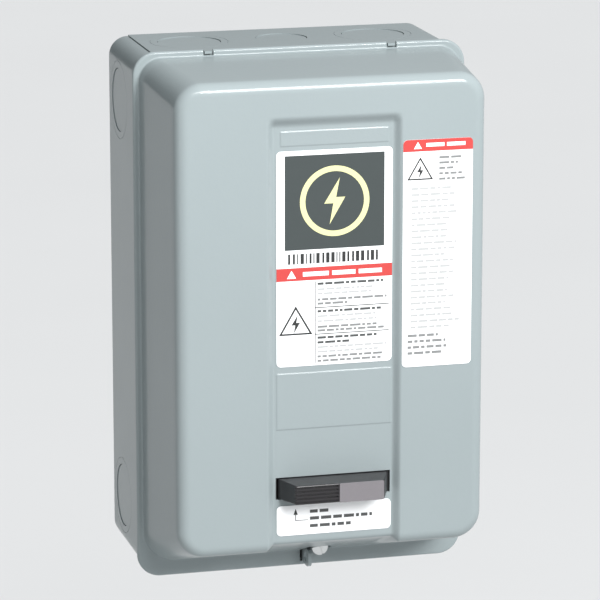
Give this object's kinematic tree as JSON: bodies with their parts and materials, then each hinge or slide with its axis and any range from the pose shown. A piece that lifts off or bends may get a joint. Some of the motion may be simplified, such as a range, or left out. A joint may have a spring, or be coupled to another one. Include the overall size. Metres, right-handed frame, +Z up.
{
  "type": "magnetic motor starter",
  "caption": "Wall-mounted magnetic motor starter: grey steel box with a swinging cover and reset button, three-pole contactor and thermal overload relay inside.",
  "frame": {"origin": "centre of the four wall holes, on the back face", "axes": "+X to the right seen from the front, +Y into the wall, +Z up"},
  "size_m": [0.185, 0.151, 0.2924],
  "materials": {
    "enamel": "semi-gloss grey baked enamel",
    "label": "printed film label",
    "button_black": "moulded, light texture",
    "zinc": "zinc plated",
    "core_steel": "laminated electrical steel",
    "spring_steel": "drawn wire",
    "phenolic_black": "compression moulded phenolic",
    "phenolic_brown": "compression moulded phenolic",
    "nylon_white": "moulded nylon",
    "coil_tape": "varnished tape over copper wire",
    "copper": "rolled copper strip",
    "silver": "silver alloy contact",
    "brass_part": "machined brass",
    "reset_red": "moulded",
    "green_screw": "green dyed zinc",
    "wire_insulation": "thermoplastic insulation"
  },
  "bodies": {
    "enclosure": {"arc_cover": "phenolic_brown", "arc_cover_screws": "zinc", "back_panel": "enamel", "base_wrapper": "enamel", "coil_bobbin": "nylon_white", "coil_terminal_screws": "zinc", "coil_terminals": "brass_part", "coil_winding": "coil_tape", "connector_straps": "copper", "contact_block": "phenolic_black", "contactor_base": "phenolic_black", "contactor_screws": "zinc", "control_wires": "wire_insulation", "cover_screw_bracket": "enamel", "ground_lug": "zinc", "ground_screw": "green_screw", "knockouts_bottom": "enamel", "knockouts_left": "enamel", "knockouts_right": "enamel", "knockouts_top": "enamel", "line_terminal_screws": "zinc", "line_terminals": "copper", "load_terminal_screws": "zinc", "load_terminals": "copper", "magnet_core": "core_steel", "motor_lug_screws": "zinc", "motor_lugs": "zinc", "mounting_plate": "zinc", "overload_base": "phenolic_black", "overload_contact_block": "phenolic_brown", "overload_contact_screws": "zinc", "overload_housing": "phenolic_black", "overload_screws": "zinc", "padlock_ear": "enamel", "plate_screws": "zinc", "plate_standoffs": "zinc", "ratchet_wheels": "brass_part", "stationary_contacts": "silver", "thermal_unit_screws": "zinc", "thermal_units": "phenolic_brown", "top_hooks": "enamel"},
    "cover": {"cover_shell": "enamel", "nameplate_label": "label", "side_label": "label", "reset_label": "label", "button_guide": "button_black", "guide_studs": "zinc", "guide_nuts": "zinc"},
    "reset_button": {"reset_button": "button_black", "reset_button_spring": "spring_steel", "reset_button_clip": "spring_steel"},
    "screw_retainer": {"cover_screw_washer": "nylon_white"},
    "cover_screw": {"cover_screw": "zinc"},
    "contact_carrier": {"contact_carrier": "phenolic_black", "armature": "core_steel", "movable_contacts": "copper", "contact_springs": "spring_steel", "return_springs": "spring_steel"},
    "overload_reset": {"overload_reset_plunger": "reset_red", "overload_reset_spring": "spring_steel"}
  },
  "joints": [
    {"name": "cover_swing", "type": "hinge", "parent": "enclosure", "child": "cover", "pos_m": [0, -0.0708, 0.1452], "axis": [-1, 0, 0], "range_deg": [0, 45]},
    {"name": "cover_screw_travel", "type": "slide", "parent": "cover", "child": "screw_retainer", "axis": [0, -1, 0], "range_m": [0, 0.00595]},
    {"name": "cover_screw_turn", "type": "hinge", "parent": "screw_retainer", "child": "cover_screw", "pos_m": [0.0105, -0.0723, -0.136], "axis": [0, -1, 0], "range_deg": [0, 2700]},
    {"name": "reset_button_push", "type": "slide", "parent": "cover", "child": "reset_button", "axis": [0, 1, 0], "range_m": [0, 0.005], "stiffness_N_per_m": 400, "springref_m": -0.006, "deforming": ["reset_button_spring"]},
    {"name": "overload_reset_push", "type": "slide", "parent": "enclosure", "child": "overload_reset", "axis": [0, 1, 0], "range_m": [0, 0.005], "stiffness_N_per_m": 150, "springref_m": -0.004, "deforming": ["overload_reset_spring"]},
    {"name": "contactor_travel", "type": "slide", "parent": "enclosure", "child": "contact_carrier", "axis": [0, 1, 0], "range_m": [0, 0.005], "stiffness_N_per_m": 400, "springref_m": -0.01, "deforming": ["return_springs"]}
  ],
  "couplings": [
    {"joint": "cover_screw_turn", "follows": "cover_screw_travel", "rad_per_m": 7913.3},
    {"joint": "overload_reset_push", "follows": "reset_button_push", "ratio": 1}
  ]
}
